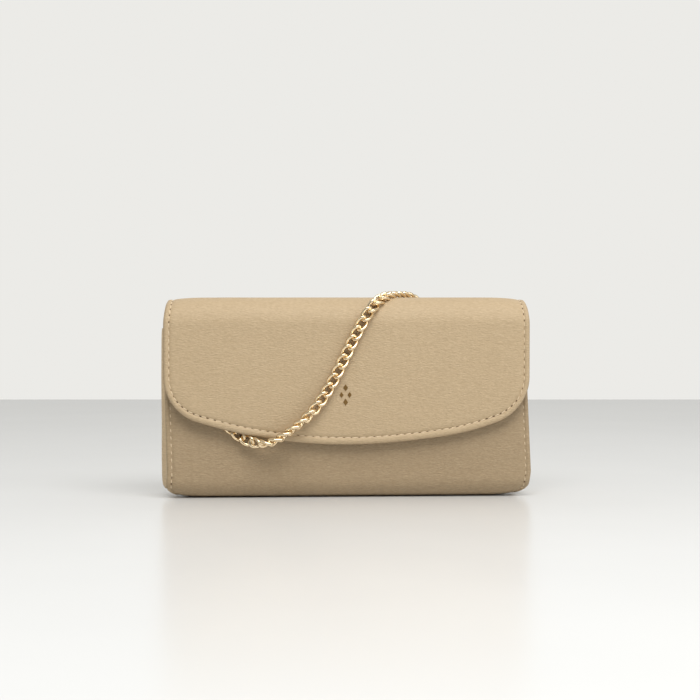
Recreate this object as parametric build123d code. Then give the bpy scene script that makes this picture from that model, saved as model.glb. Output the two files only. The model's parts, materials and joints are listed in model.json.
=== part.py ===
"""Flap wallet with a detachable chain strap: an upright leather clutch with side gussets,
card slots, a zipped coin pocket, a magnetic snap and a curb chain on lobster clasps.

Millimetres. +X is the wearer's view to the right, -Y the front, +Z up. The origin is at the
middle of the base, where the wallet stands.
"""

import math
import os

from build123d import *

# ---------------------------------------------------------------- driving dimensions
HALF_WIDTH = 99.0        # of the leather shell and the flap
HALF_DEPTH = 20.0        # outside of the flap to outside of the back
HEIGHT = 110.0
FOLD_RADIUS = 15.0       # of the flap's roll over the mouth
MOUTH_TOP = 95.0         # where the back panel ends and the flap begins

LEATHER = 1.4            # body leather
FLAP_LEATHER = 1.2
INTERLINING = 0.8
LINING = 0.5
FLAP_INSIDE = FLAP_LEATHER + INTERLINING + LINING
SLIT = 0.3               # gap between two pieces at a bend
SKIN_GAP = 0.02          # between concentric layers

FRONT_FACE = -13.2       # outside of the front panel
FRONT_TOP = 87.0
FRONT_FOOT = 9.6         # where the front panel leaves the base wrap
BACK_ROUND = 11.0        # outer radii of the base wrap
FRONT_ROUND = 9.0
CORNER_ROUND = 7.0       # of the shell's two bottom corners, seen from the front

FLAP_TIP = 30.8          # lowest point of the flap
FLAP_ARC = 302.0         # radius of the flap's lower edge
FLAP_CORNER = 25.0

GUSSET_SHEET = 1.0
GUSSET_RIDGE = 101.5     # middle fold, which stands out past the shell
GUSSET_VALLEY = 90.0
GUSSET_FOOT = 6.0
GUSSET_TOP = 92.5

CARD_HALF = 88.0
CARD_SHEET = 0.6
CARD_STEP = 12.0

POCKET_MIDDLE = 3.1      # y of the coin pocket's middle plane
POCKET_HALF = 5.7        # half its thickness
POCKET_WALL = 0.9
POCKET_FOOT = 5.0
POCKET_TOP = 88.0
POCKET_FLAT = 86.0       # where the pocket starts to taper to the gusset's ridge

ZIP_HALF = 84.0
TEETH_HALF = 78.0
TOOTH_PITCH = 3.0
TOOTH_WIDE = 1.4
TOOTH_LONG = 1.45
TEETH_SLOT = 0.9         # between the two rows, for the slider's post
TEETH_LOW, TEETH_HIGH = 87.4, 89.6
TAPE_SHEET = 0.6
SLIDER_X = -71.0

SNAP_HEIGHT = 46.0
SNAP_RADIUS = 7.0
SNAP_BORE = 3.6

RING_X = 86.0
RING_BAR_Y, RING_BAR_Z = 12.0, 102.0
RING_WIRE = 0.9          # radius
RING_WIDE = 11.0         # centreline
RING_DEEP = 8.0
RING_PULL = 20.0         # degrees below level that the strap pulls the left ring
TAB_WIDE = 8.4
TAB_LOOP = 2.4
TAB_DROP = 7.0           # the tab ends this far above the roll's middle

CHAIN_THICK = 3.6        # the chain's metal makes a round bar of this diameter
CHAIN_OFF = CHAIN_THICK / 2 + 0.15

CHAIN_WIDE = 7.0         # across the links
HANK_X, HANK_Y = -11.0, 47.5     # middle of the hank of spare chain
HANK_RUN = 60.0                  # its straight runs
HANK_OUT, HANK_IN = 21.0, 14.0   # centrelines of the outer and inner turns, at its ends
HANK_LIFT = 0.55                 # the tie passes under it
TIE_WIDE, TIE_SHEET = 9.0, 0.5

parts = {}


def block(x, y, z):
    """A box between three (low, high) pairs."""
    size = [high - low for low, high in (x, y, z)]
    middle = [(low + high) / 2 for low, high in (x, y, z)]
    return Pos(*middle) * Box(*size)


def across(face, half):
    """A section drawn in Y and Z, drawn out both ways along X."""
    return extrude(Plane.YZ * face, amount=half, both=True)


def between(outer, inner):
    """The face between two open lines, closed across their ends."""
    ends = Line(outer @ 0, inner @ 0) + Line(outer @ 1, inner @ 1)
    return make_face(outer + inner + ends)


def disc(x, z, radius, y_low, y_high):
    """A round plate standing across Y."""
    middle = Pos(x, (y_low + y_high) / 2, z)
    return middle * Rot(90, 0, 0) * Cylinder(radius, y_high - y_low)


def rod(x, y, z, radius, length, turn=(0, 90, 0)):
    """A cylinder, along X unless turned otherwise."""
    return Pos(x, y, z) * Rot(*turn) * Cylinder(radius, length)


# ---------------------------------------------------------------- base wrap and back
def wrap_line(depth):
    """The base wrap's line at a depth below its outside: down the back, under, up the front."""
    return FilletPolyline(
        (HALF_DEPTH - depth, MOUTH_TOP),
        (HALF_DEPTH - depth, depth),
        (FRONT_FACE + depth, depth),
        (FRONT_FACE + depth, FRONT_FOOT),
        radius=(BACK_ROUND - depth, FRONT_ROUND - depth),
    )


def outer_shell():
    sheet = across(between(wrap_line(0), wrap_line(LEATHER)), HALF_WIDTH)
    outline = Pos(0, HEIGHT / 2) * Rectangle(2 * HALF_WIDTH, HEIGHT)
    low = outline.vertices().sort_by(Axis.Y)[:2]
    return sheet & extrude(Plane.XZ * fillet(low, CORNER_ROUND), amount=60, both=True)


BACK_INNER = HALF_DEPTH - LEATHER
BACK_BOARD = BACK_INNER - 0.7
BACK_LINING = BACK_BOARD - LINING
FRONT_INNER = FRONT_FACE + LEATHER
FRONT_BOARD = FRONT_INNER + 0.8
FRONT_LINING = FRONT_BOARD + LINING

parts["outer_shell"] = outer_shell()
parts["back_board"] = block((-94, 94), (BACK_BOARD, BACK_INNER), (12, 92))
parts["back_lining"] = block((-96, 96), (BACK_LINING, BACK_BOARD), (12, 94.5))
parts["base_board"] = block((-90, 90), (-4.0, 8.6), (LEATHER, LEATHER + 0.8))
parts["base_lining"] = block((-88, 88), (-4.4, 8.8), (LEATHER + 0.8, LEATHER + 1.3))


# ---------------------------------------------------------------- card slots
def card_slots(face, into, top, count, foot):
    """Stepped strips, each a sheet further from the wall and a step lower than the last."""
    strips = []
    for k in range(count):
        near, far = face + into * CARD_SHEET * k, face + into * CARD_SHEET * (k + 1)
        high = top - CARD_STEP * k
        low = foot if k == count - 1 else high - 2 * CARD_STEP
        strips.append(
            block((-CARD_HALF, CARD_HALF), (min(near, far), max(near, far)), (low, high))
        )
    return Compound(children=strips)


parts["back_card_slots"] = card_slots(BACK_LINING, -1, 88.0, 4, 16.0)
parts["front_card_slots"] = card_slots(FRONT_LINING, 1, 82.0, 3, 16.0)


# ---------------------------------------------------------------- gussets
def gusset(side):
    """A W-folded sheet from the back, out to its ridge, and in again to the front."""
    folds = Polyline(
        (98 * side, 16.6),
        (GUSSET_VALLEY * side, 11.2),
        (GUSSET_RIDGE * side, POCKET_MIDDLE),
        (GUSSET_VALLEY * side, -5.2),
        (98 * side, -10.0),
    )
    sheet = extrude(trace(folds, GUSSET_SHEET), amount=GUSSET_TOP - GUSSET_FOOT)
    return Pos(0, 0, GUSSET_FOOT) * sheet


parts["left_gusset"] = gusset(-1)
parts["right_gusset"] = gusset(1)


# ---------------------------------------------------------------- front panel
SNAP_WASHER = 8.0
parts["front_panel"] = block(
    (-HALF_WIDTH, HALF_WIDTH), (FRONT_FACE, FRONT_INNER), (FRONT_FOOT + SLIT, FRONT_TOP)
)
parts["front_board"] = block((-94, 94), (FRONT_INNER, FRONT_BOARD), (12, 84)) - disc(
    0, SNAP_HEIGHT, SNAP_WASHER + 0.2, FRONT_INNER - 1, FRONT_BOARD + 1
)
parts["front_lining"] = block((-96, 96), (FRONT_BOARD, FRONT_LINING), (11, 86.6))


# ---------------------------------------------------------------- magnetic snap
SOCKET_FACE = FRONT_FACE - 2.2
MAGNET_IN, MAGNET_OUT, MAGNET_DEEP = 4.2, 6.0, 1.4
STUD_BACK = -HALF_DEPTH + FLAP_INSIDE
STUD_PLATE, STUD_RADIUS, STUD_TIP = 0.9, 2.4, SOCKET_FACE + 0.9


def annulus(out, into, y_low, y_high):
    return disc(0, SNAP_HEIGHT, out, y_low, y_high) - disc(
        0, SNAP_HEIGHT, into, y_low - 1, y_high + 1
    )


parts["snap_socket"] = annulus(SNAP_RADIUS, SNAP_BORE, SOCKET_FACE, FRONT_FACE) - annulus(
    MAGNET_OUT + 0.1, MAGNET_IN - 0.1, FRONT_FACE - MAGNET_DEEP - 0.1, FRONT_FACE
)
parts["snap_magnet"] = annulus(MAGNET_OUT, MAGNET_IN, FRONT_FACE - MAGNET_DEEP, FRONT_FACE)
parts["snap_socket_washer"] = annulus(SNAP_WASHER, 2.0, FRONT_INNER, FRONT_INNER + 0.6)
parts["snap_stud"] = disc(
    0, SNAP_HEIGHT, SNAP_RADIUS - 0.5, STUD_BACK, STUD_BACK + STUD_PLATE
) + disc(0, SNAP_HEIGHT, STUD_RADIUS, STUD_BACK + STUD_PLATE, STUD_TIP)
parts["snap_stud_washer"] = annulus(
    SNAP_WASHER, 2.0, STUD_BACK - LINING - 0.6, STUD_BACK - LINING
)


# ---------------------------------------------------------------- coin pocket
def pocket_plan(taper, half, end):
    """The pocket seen from above: flat walls that taper to a narrow end at each gusset."""
    front, back = POCKET_MIDDLE - half, POCKET_MIDDLE + half
    tip = max(half - POCKET_HALF + 0.8, 0.02)
    right = [(taper, front), (end, POCKET_MIDDLE - tip), (end, POCKET_MIDDLE + tip)]
    left = [(-x, y) for x, y in reversed(right)]
    return make_face(
        Polyline(*right, (taper, back), (-taper, back), *left, close=True)
    )


def coin_pocket():
    outer = extrude(pocket_plan(POCKET_FLAT, POCKET_HALF, 99.0), amount=POCKET_TOP - POCKET_FOOT)
    inner = extrude(
        pocket_plan(POCKET_FLAT - 0.5, POCKET_HALF - POCKET_WALL, 96.0), amount=POCKET_TOP
    )
    bag = Pos(0, 0, POCKET_FOOT) * outer - Pos(0, 0, POCKET_FOOT + POCKET_WALL) * inner
    front = bag & block((-120, 120), (-60, POCKET_MIDDLE), (0, 120))
    return front, bag - block((-120, 120), (-60, POCKET_MIDDLE), (0, 120))


parts["coin_pocket_front"], parts["coin_pocket_back"] = coin_pocket()

ROW_EDGE = TEETH_SLOT / 2 + TOOTH_LONG   # from the middle plane to a row's tape
TAPE_TOP = POCKET_TOP + TAPE_SHEET


def zip_tape(side):
    near, far = POCKET_MIDDLE + side * ROW_EDGE, POCKET_MIDDLE + side * POCKET_HALF
    return block(
        (-ZIP_HALF, ZIP_HALF), (min(near, far), max(near, far)), (POCKET_TOP, TAPE_TOP)
    )


def zip_teeth(side):
    near = POCKET_MIDDLE + side * TEETH_SLOT / 2
    far = POCKET_MIDDLE + side * ROW_EDGE
    teeth = []
    shift = 0.25 * TOOTH_PITCH * side
    for k in range(-25, 26):
        middle = k * TOOTH_PITCH + shift
        teeth.append(
            block(
                (middle - TOOTH_WIDE / 2, middle + TOOTH_WIDE / 2),
                (min(near, far), max(near, far)),
                (TEETH_LOW, TEETH_HIGH),
            )
        )
    return Compound(children=teeth)


def zip_stops():
    half = 2.6
    return Compound(
        children=[
            block(
                (x - 1.0, x + 1.0),
                (POCKET_MIDDLE - half, POCKET_MIDDLE + half),
                (TAPE_TOP, TAPE_TOP + 1.2),
            )
            for x in (-TEETH_HALF - 2.4, TEETH_HALF + 2.4)
        ]
    )


SLIDER_LONG, SLIDER_WIDE, SLIDER_PLATE = 10.0, 7.2, 1.2
SLIDER_LOW = TEETH_LOW - 0.2 - SLIDER_PLATE
SLIDER_HIGH = TEETH_HIGH + 0.2
BRIDGE_TOP = SLIDER_HIGH + SLIDER_PLATE + 2.8
BAR_Z = SLIDER_HIGH + SLIDER_PLATE + 1.1


def zip_slider():
    x = (SLIDER_X - SLIDER_LONG / 2, SLIDER_X + SLIDER_LONG / 2)
    y = (POCKET_MIDDLE - SLIDER_WIDE / 2, POCKET_MIDDLE + SLIDER_WIDE / 2)
    plates = []
    for low in (SLIDER_LOW, SLIDER_HIGH):
        plate = block(x, y, (low, low + SLIDER_PLATE))
        plates.append(fillet(plate.edges().filter_by(Axis.Z), 2.0))
    post = block(
        (SLIDER_X - 3, SLIDER_X + 3),
        (POCKET_MIDDLE - 0.35, POCKET_MIDDLE + 0.35),
        (SLIDER_LOW + 0.5, SLIDER_HIGH + 0.5),
    )
    arch = block(
        (SLIDER_X - 2.6, SLIDER_X + 2.6),
        (POCKET_MIDDLE - 1.2, POCKET_MIDDLE + 1.2),
        (SLIDER_HIGH + 0.5, BRIDGE_TOP),
    )
    arch = fillet(arch.edges().filter_by(Axis.Y).group_by(Axis.Z)[-1], 1.2)
    eye = rod(SLIDER_X, POCKET_MIDDLE, BAR_Z, 1.0, 6, turn=(90, 0, 0))
    return plates[0] + plates[1] + post + (arch - eye)


def zip_puller():
    """A bar through the slider's arch, two arms round it and a rounded tab."""
    bar = rod(SLIDER_X, POCKET_MIDDLE, BAR_Z, 0.7, 6.4, turn=(90, 0, 0))
    ring = block(
        (SLIDER_X - 0.6, SLIDER_X + 6.0),
        (POCKET_MIDDLE - 3.2, POCKET_MIDDLE + 3.2),
        (BAR_Z - 0.6, BAR_Z + 0.6),
    ) - block(
        (SLIDER_X - 2, SLIDER_X + 3.8),
        (POCKET_MIDDLE - 1.7, POCKET_MIDDLE + 1.7),
        (BAR_Z - 2, BAR_Z + 2),
    )
    tab = block(
        (SLIDER_X + 4.5, SLIDER_X + 25.0),
        (POCKET_MIDDLE - 3.2, POCKET_MIDDLE + 3.2),
        (BAR_Z - 0.6, BAR_Z + 0.6),
    )
    tab = fillet(tab.edges().filter_by(Axis.Z).group_by(Axis.X)[-1], 3.0)
    return bar + ring + tab


parts["zip_tape_front"] = zip_tape(-1)
parts["zip_tape_back"] = zip_tape(1)
parts["zip_teeth_front"] = zip_teeth(-1)
parts["zip_teeth_back"] = zip_teeth(1)
parts["zip_stops"] = zip_stops()
parts["zip_slider"] = zip_slider()
parts["zip_puller"] = zip_puller()


# ---------------------------------------------------------------- flap
def fold_line(depth):
    """The flap's line at a depth below its outside: up from the back, over, down the front."""
    return FilletPolyline(
        (HALF_DEPTH - depth, MOUTH_TOP + SLIT),
        (HALF_DEPTH - depth, HEIGHT - depth),
        (-HALF_DEPTH + depth, HEIGHT - depth),
        (-HALF_DEPTH + depth, FLAP_TIP - 5),
        radius=FOLD_RADIUS - depth - SLIT - 0.01,
    )


def flap_outline(inset):
    """The flap seen from the front: straight sides, two corner arcs and one wide arc."""
    side, corner, wide = HALF_WIDTH - inset, FLAP_CORNER - inset, FLAP_ARC - inset
    centre_x = HALF_WIDTH - FLAP_CORNER
    reach = FLAP_ARC - FLAP_CORNER
    arc_z = FLAP_TIP + FLAP_ARC
    centre_z = arc_z - math.sqrt(reach**2 - centre_x**2)
    lean = math.atan2(centre_x, arc_z - centre_z)
    half = (math.pi / 2 + lean) / 2

    def on_corner(angle, sign):
        return (
            sign * (centre_x + corner * math.sin(angle)),
            centre_z - corner * math.cos(angle),
        )

    top = HEIGHT + 10
    lines = Line((-side, top), (side, top))
    for sign in (-1, 1):
        lines += Line((sign * side, top), (sign * side, centre_z))
        lines += ThreePointArc(
            (sign * side, centre_z), on_corner(half, sign), on_corner(lean, sign)
        )
    lines += ThreePointArc(on_corner(lean, -1), (0, arc_z - wide), on_corner(lean, 1))
    return extrude(Plane.XZ * make_face(lines), amount=60, both=True)


def flap_layer(near, far, inset):
    sheet = across(between(fold_line(near), fold_line(far)), HALF_WIDTH - inset)
    return sheet & flap_outline(inset)


CORE_IN = FLAP_LEATHER + INTERLINING
parts["flap_leather"] = flap_layer(0, FLAP_LEATHER, 0)
parts["flap_interlining"] = flap_layer(
    FLAP_LEATHER + SKIN_GAP, CORE_IN - SKIN_GAP, 4
) - disc(0, SNAP_HEIGHT, SNAP_WASHER + 0.2, -30, 0)
parts["flap_lining"] = flap_layer(CORE_IN, FLAP_INSIDE, 1)


# ---------------------------------------------------------------- strap rings
ARC_Y, ARC_Z = HALF_DEPTH - FOLD_RADIUS, HEIGHT - FOLD_RADIUS   # centre of the back roll
FOLD_IN = FOLD_RADIUS - FLAP_INSIDE - 0.05


def ring_tab(side):
    """A leather strip sewn under the fold, looped round the ring's bar."""
    strap = 1.1
    drum = rod(0, ARC_Y, ARC_Z, FOLD_IN, TAB_WIDE)
    sector = drum - rod(0, ARC_Y, ARC_Z, FOLD_IN - strap, TAB_WIDE + 1)
    sector = sector & block((-20, 20), (ARC_Y, 40), (ARC_Z + TAB_DROP, 130))
    flat = block(
        (-TAB_WIDE / 2, TAB_WIDE / 2), (-4, ARC_Y), (ARC_Z + FOLD_IN - strap, ARC_Z + FOLD_IN)
    )
    away = math.degrees(math.atan2(RING_BAR_Z - ARC_Z, RING_BAR_Y - ARC_Y))
    neck = Pos(0, RING_BAR_Y, RING_BAR_Z) * Rot(away, 0, 0) * Pos(0, 3, 0)
    web = (neck * Box(TAB_WIDE, 6, 2.2)) & drum
    loop = rod(0, RING_BAR_Y, RING_BAR_Z, TAB_LOOP, TAB_WIDE) & drum
    hole = rod(0, RING_BAR_Y, RING_BAR_Z, RING_WIRE + 0.2, TAB_WIDE + 1)
    return Pos(side * RING_X, 0, 0) * (sector + flat + web + loop - hole)


def d_ring(side, below):
    """A D of round wire on its bar, hanging at an angle below level."""
    half = RING_WIDE / 2
    path = FilletPolyline(
        (-half, 0), (half, 0), (half, -RING_DEEP), (-half, -RING_DEEP),
        radius=(1.4, 1.4, half - 0.6, half - 0.6),
        close=True,
    )
    start = Plane(origin=path @ 0, z_dir=path % 0)
    ring = sweep(start * Circle(RING_WIRE), path=path)
    place = Pos(side * RING_X, RING_BAR_Y, RING_BAR_Z)
    return place * Rot(below, 0, 0) * ring


parts["left_ring_tab"] = ring_tab(-1)
parts["right_ring_tab"] = ring_tab(1)
parts["left_d_ring"] = d_ring(-1, RING_PULL)
parts["right_d_ring"] = d_ring(1, 90)


# ---------------------------------------------------------------- lobster clasps
# Drawn in U (along, from the hook to the eye), V (across) and W (thickness).
CLASP_HALF = 1.7
HOOK_IN, HOOK_OUT = 2.5, 4.6
BODY_STEP, BODY_END, END_RADIUS = 2.2, 6.6, 2.1
PIVOT_U, PIVOT_V = 5.3, 1.9
TIP_U, TIP_V = -0.15, 3.45
EYE_U, EYE_RADIUS, EYE_WIRE = 11.2, 1.9, 0.75
HEAD_U, NECK_U = 6.4, 7.0


def hull_of(*circles):
    edges = ShapeList()
    for u, v, radius in circles:
        edges += (Pos(u, v) * Circle(radius)).edges()
    return make_hull(edges)


def clasp_body():
    outside = hull_of((0, 0, HOOK_OUT), (BODY_STEP, 0, 4.4), (BODY_END, 0, END_RADIUS))
    inside = hull_of((0, 0, HOOK_IN), (BODY_STEP, 0, HOOK_IN))
    body = extrude(outside - inside, amount=CLASP_HALF, both=True)
    body = chamfer(body.faces().sort_by(Axis.Z)[-1].outer_wire().edges(), 0.4)
    body -= block((-1.2, 4.9), (1.4, 6), (-3, 3))
    body -= block((4.0, 6.6), (0.6, 6), (-1.05, 1.05))
    body -= rod(PIVOT_U, PIVOT_V, 0, 0.58, 6, turn=(0, 0, 0))
    body -= rod((HEAD_U + NECK_U) / 2 - 0.1, 0, 0, 1.45, NECK_U - HEAD_U + 0.4)
    return body - rod(NECK_U + 1, 0, 0, 0.9, 4)


def clasp_gate():
    bar = hull_of((PIVOT_U, PIVOT_V, 1.1), (TIP_U, TIP_V, 0.75))
    nub = Pos(3.4, 3.9) * Circle(1.0)
    gate = extrude(bar + nub, amount=0.95, both=True)
    return gate - rod(PIVOT_U, PIVOT_V, 0, 0.65, 6, turn=(0, 0, 0))


def clasp_pin():
    return rod(PIVOT_U, PIVOT_V, 0, 0.55, 2 * CLASP_HALF, turn=(0, 0, 0))


def clasp_eye():
    head = rod((HEAD_U + NECK_U) / 2, 0, 0, 1.3, NECK_U - HEAD_U - 0.1)
    stem = rod((HEAD_U + EYE_U - EYE_RADIUS) / 2, 0, 0, 0.8, EYE_U - EYE_RADIUS - HEAD_U - 0.1)
    return head + stem + Pos(EYE_U, 0, 0) * Torus(EYE_RADIUS, EYE_WIRE)


# The left clasp's hook holds the left ring's bow; its eye points forwards and down.
PULL = math.radians(RING_PULL)
ALONG = (0, -math.cos(PULL), -math.sin(PULL))
HOOKED = RING_DEEP + 0.9   # from the ring's bar to the middle of the hook
LEFT_Y = RING_BAR_Y + HOOKED * ALONG[1]
LEFT_Z = RING_BAR_Z + HOOKED * ALONG[2]
left_place = Plane(origin=(-RING_X, LEFT_Y, LEFT_Z), x_dir=ALONG, z_dir=(-1, 0, 0))
# The far clasp lies on the table to the left of the hank of spare chain, its eye to the back.
EYE_REACH = EYE_U + EYE_RADIUS + EYE_WIRE + 0.2
TABLE = CHAIN_THICK / 2
TOP_LAYER = HANK_LIFT + 1.5 * CHAIN_THICK + 0.3
tail = [
    (HANK_X - HANK_RUN / 2 + 2, HANK_Y + HANK_OUT, TOP_LAYER),
    (HANK_X - HANK_RUN / 2 - 13, HANK_Y + HANK_OUT - 0.6, TOP_LAYER - 0.3),
    (HANK_X - HANK_RUN / 2 - 27, HANK_Y + HANK_OUT - 3.4, TOP_LAYER - 3.6),
    (HANK_X - HANK_RUN / 2 - 36.5, HANK_Y + 8.5, TABLE + 0.1),
    (HANK_X - HANK_RUN / 2 - 37.5, HANK_Y - 4, TABLE),
]
FAR_X, FAR_EYE_Y = tail[-1][:2]
far_place = Plane(
    origin=(FAR_X, FAR_EYE_Y - EYE_REACH, CLASP_HALF + 0.1), x_dir=(0, 1, 0), z_dir=(0, 0, 1)
)
for name, place in (("left", left_place), ("far", far_place)):
    parts[name + "_clasp_body"] = place.location * clasp_body()
    parts[name + "_clasp_gate"] = place.location * clasp_gate()
    parts[name + "_clasp_pin"] = place.location * clasp_pin()
    parts[name + "_clasp_eye"] = place.location * clasp_eye()


# ---------------------------------------------------------------- chain strap
# The chain's route, from the left clasp's eye, down inside the flap, out under its edge, up
# across its front, over the fold, down the back and along the table into a flat hank.
EYE_END_Y = LEFT_Y + EYE_REACH * ALONG[1]
EYE_END_Z = LEFT_Z + EYE_REACH * ALONG[2]
INSIDE = FRONT_FACE - CHAIN_OFF + 0.02     # between the front panel and the flap
OUTSIDE = -HALF_DEPTH - CHAIN_OFF          # on the flap's front
OVER = HEIGHT + CHAIN_OFF + 0.4            # on the fold
BEHIND = HALF_DEPTH + CHAIN_OFF + 0.4      # on the back

under_flap = [
    (-86.0, EYE_END_Y, EYE_END_Z),
    (-86.0, EYE_END_Y - 3.3, EYE_END_Z - 1.2),
    (-86.0, INSIDE, FRONT_TOP + 2.4),
    (-86.1, INSIDE, FRONT_TOP - 5.0),
    (-86.3, INSIDE, 70.0),
    (-83.5, INSIDE, 56.0),
    (-76.0, INSIDE, 44.0),
    (-66.0, INSIDE, 36.6),
]
over_flap = [
    (-56.0, INSIDE - 0.6, 31.2),
    (-47.5, -20.4, 29.2),
    (-39.5, OUTSIDE - 0.4, 31.8),
    (-29.5, OUTSIDE, 38.8),
    (-19.0, OUTSIDE, 47.6),
    (-10.6, OUTSIDE, 59.5),
    (-3.6, OUTSIDE, 73.0),
    (3.4, OUTSIDE, 88.0),
    (11.0, OUTSIDE - 0.3, 102.6),
    (20.0, -12.4, OVER),
]
bend = [
    (37.0, 12.2, OVER),
    (44.0, BEHIND, 102.4),
]
behind = [
    (46.3, BEHIND, 68.0),
    (47.2, BEHIND, 42.0),
    (47.8, BEHIND, 22.0),
    (48.0, BEHIND + 2.4, 9.4),
    (46.8, BEHIND + 10.0, TABLE + 0.4),
]


def corner_radii(points):
    """0.45 of the shorter run over the tangent of half the turn, at each corner."""
    radii = []
    for a, b, c in zip(points, points[1:], points[2:]):
        before, after = Vector(*b) - Vector(*a), Vector(*c) - Vector(*b)
        turn = math.radians(before.get_angle(after))
        radii.append(0.45 * min(before.length, after.length) / math.tan(turn / 2))
    return radii


def chain_tube(points):
    path = FilletPolyline(*points, radius=corner_radii(points))
    start = Plane(origin=path @ 0, z_dir=path % 0)
    return sweep(start * Circle(CHAIN_THICK / 2), path=path), path


def halfway(a, b, share=0.5):
    return tuple(p + (q - p) * share for p, q in zip(a, b))


top_start = halfway(over_flap[-1], bend[0], 0.6)
back_start = halfway(bend[-1], behind[0])


hank_join = (HANK_X + HANK_RUN / 2 + HANK_OUT, HANK_Y - 1, TABLE + HANK_LIFT)
stretches = {
    "chain_on_flap": under_flap + over_flap + [top_start],
    "chain_over_hinge": [top_start] + bend + [back_start],
    "chain_behind": [back_start] + behind + [hank_join],
    "chain_end": tail,
}
for name, points in stretches.items():
    tube, path = chain_tube(points)
    parts[name] = tube
    print(name, "length", round(path.length, 1), "volume share",
          round(tube.volume / (path.length * math.pi * (CHAIN_THICK / 2) ** 2), 4))
    print("  radii", [round(r, 1) for r in corner_radii(points)])



def hank_ring(outer, inner, height):
    """A flat ring with round ends, as the wound chain fills it."""
    ring = SlotCenterToCenter(HANK_RUN, 2 * outer) - SlotCenterToCenter(HANK_RUN, 2 * inner)
    return Pos(HANK_X, HANK_Y, 0) * extrude(ring, amount=height)


HANK_HIGH = TOP_LAYER + CHAIN_THICK / 2
parts["chain_hank"] = Pos(0, 0, HANK_LIFT) * hank_ring(
    HANK_OUT + CHAIN_WIDE / 2, HANK_IN - CHAIN_WIDE / 2, HANK_HIGH - HANK_LIFT
)
tie_x = (HANK_X - TIE_WIDE / 2, HANK_X + TIE_WIDE / 2)
tie_reach = HANK_OUT + CHAIN_WIDE / 2 + 0.3
tie_out = block(
    tie_x,
    (HANK_Y - tie_reach - TIE_SHEET, HANK_Y + tie_reach + TIE_SHEET),
    (0, HANK_HIGH + 0.1 + TIE_SHEET),
)
tie_in = block(
    (tie_x[0] - 1, tie_x[1] + 1),
    (HANK_Y - tie_reach, HANK_Y + tie_reach),
    (TIE_SHEET, HANK_HIGH + 0.1),
)
parts["hank_tie"] = fillet(tie_out.edges().filter_by(Axis.X), 1.2) - fillet(
    tie_in.edges().filter_by(Axis.X), 0.4
)

# ---------------------------------------------------------------- write the files
os.makedirs("parts", exist_ok=True)
for name, shape in parts.items():
    export_step(shape, f"parts/{name}.step")
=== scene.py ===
import math

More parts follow.
